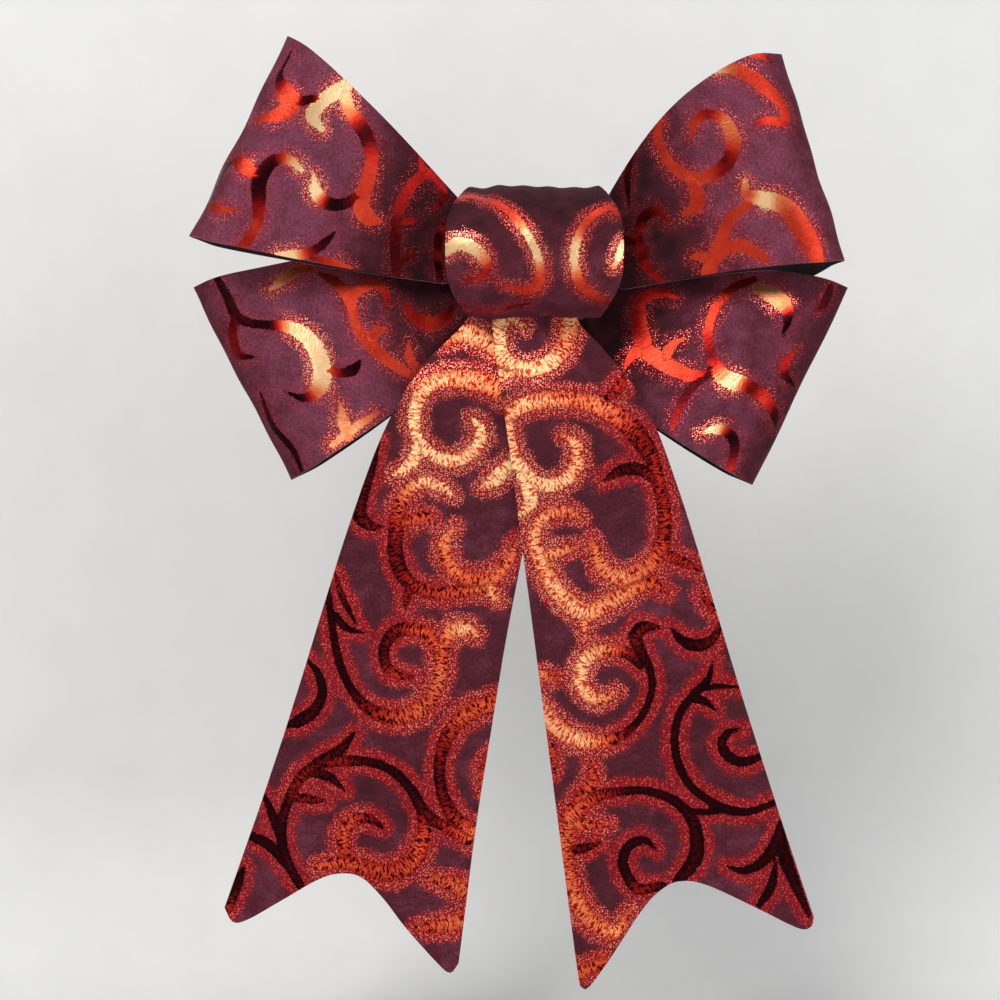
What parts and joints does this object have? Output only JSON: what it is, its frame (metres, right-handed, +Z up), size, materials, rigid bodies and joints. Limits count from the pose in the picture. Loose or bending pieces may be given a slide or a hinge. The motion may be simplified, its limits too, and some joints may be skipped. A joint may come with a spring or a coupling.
{
  "type": "gift bow",
  "caption": "Hanging ribbon bow with two pairs of flat loops, a padded knot, two long swallow-tailed tails and a wire tie behind.",
  "frame": {"origin": "centre of the flat back of the knot", "axes": "+Y out of the flat back, away from the viewer; +Z up, along the hanging tails; +X to the viewer's right"},
  "size_m": [0.2311, 0.0872, 0.3325],
  "materials": {
    "ribbon": "burgundy velvet with red-orange foil scrollwork and fine glitter, near-black backing",
    "wadding": "white polyester wadding",
    "wire": "galvanised, dull",
    "tie": "dark green, flexible",
    "glue": "set hot glue"
  },
  "bodies": {
    "knot": {"knot_band": "ribbon", "knot_pad": "wadding", "upper_ribbon_waist": "ribbon", "lower_ribbon_waist": "ribbon", "left_tail_head": "ribbon", "right_tail_head": "ribbon", "tail_staple": "wire", "back_glue": "glue", "binding_wire": "wire", "binding_twist": "wire", "tie_saddle": "tie", "tie_saddle_wire": "wire"},
    "upper_left": {"upper_left_loop": "ribbon"},
    "upper_right": {"upper_right_loop": "ribbon"},
    "lower_left": {"lower_left_loop": "ribbon"},
    "lower_right": {"lower_right_loop": "ribbon"},
    "tail_left": {"left_tail": "ribbon"},
    "tail_right": {"right_tail": "ribbon"},
    "tie_left": {"tie_left_leg": "tie", "tie_left_wire": "wire"},
    "tie_right": {"tie_right_leg": "tie", "tie_right_wire": "wire"}
  },
  "joints": [
    {"name": "upper_left_bend", "type": "hinge", "parent": "knot", "child": "upper_left", "pos_m": [-0.027, -0.012, 0], "axis": [0, 0, 1], "range_deg": [0, 20]},
    {"name": "upper_right_bend", "type": "hinge", "parent": "knot", "child": "upper_right", "pos_m": [0.027, -0.012, 0], "axis": [0, 0, -1], "range_deg": [0, 20]},
    {"name": "lower_left_bend", "type": "hinge", "parent": "knot", "child": "lower_left", "pos_m": [-0.027, -0.006, 0], "axis": [0, 0, 1], "range_deg": [-12, 0]},
    {"name": "lower_right_bend", "type": "hinge", "parent": "knot", "child": "lower_right", "pos_m": [0.027, -0.006, 0], "axis": [0, 0, -1], "range_deg": [-12, 0]},
    {"name": "tail_left_fan", "type": "hinge", "parent": "knot", "child": "tail_left", "pos_m": [0, -0.018, -0.004], "axis": [0, 1, 0], "range_deg": [-3, 8]},
    {"name": "tail_right_fan", "type": "hinge", "parent": "knot", "child": "tail_right", "pos_m": [0, -0.02, -0.004], "axis": [0, -1, 0], "range_deg": [-3, 8]},
    {"name": "tie_left_bend", "type": "hinge", "parent": "knot", "child": "tie_left", "pos_m": [-0.032, -0.00185, 0.01], "axis": [0, 0, 1], "range_deg": [-35, 35]},
    {"name": "tie_right_bend", "type": "hinge", "parent": "knot", "child": "tie_right", "pos_m": [0.032, -0.00185, 0.01], "axis": [0, 0, 1], "range_deg": [-35, 35]}
  ]
}
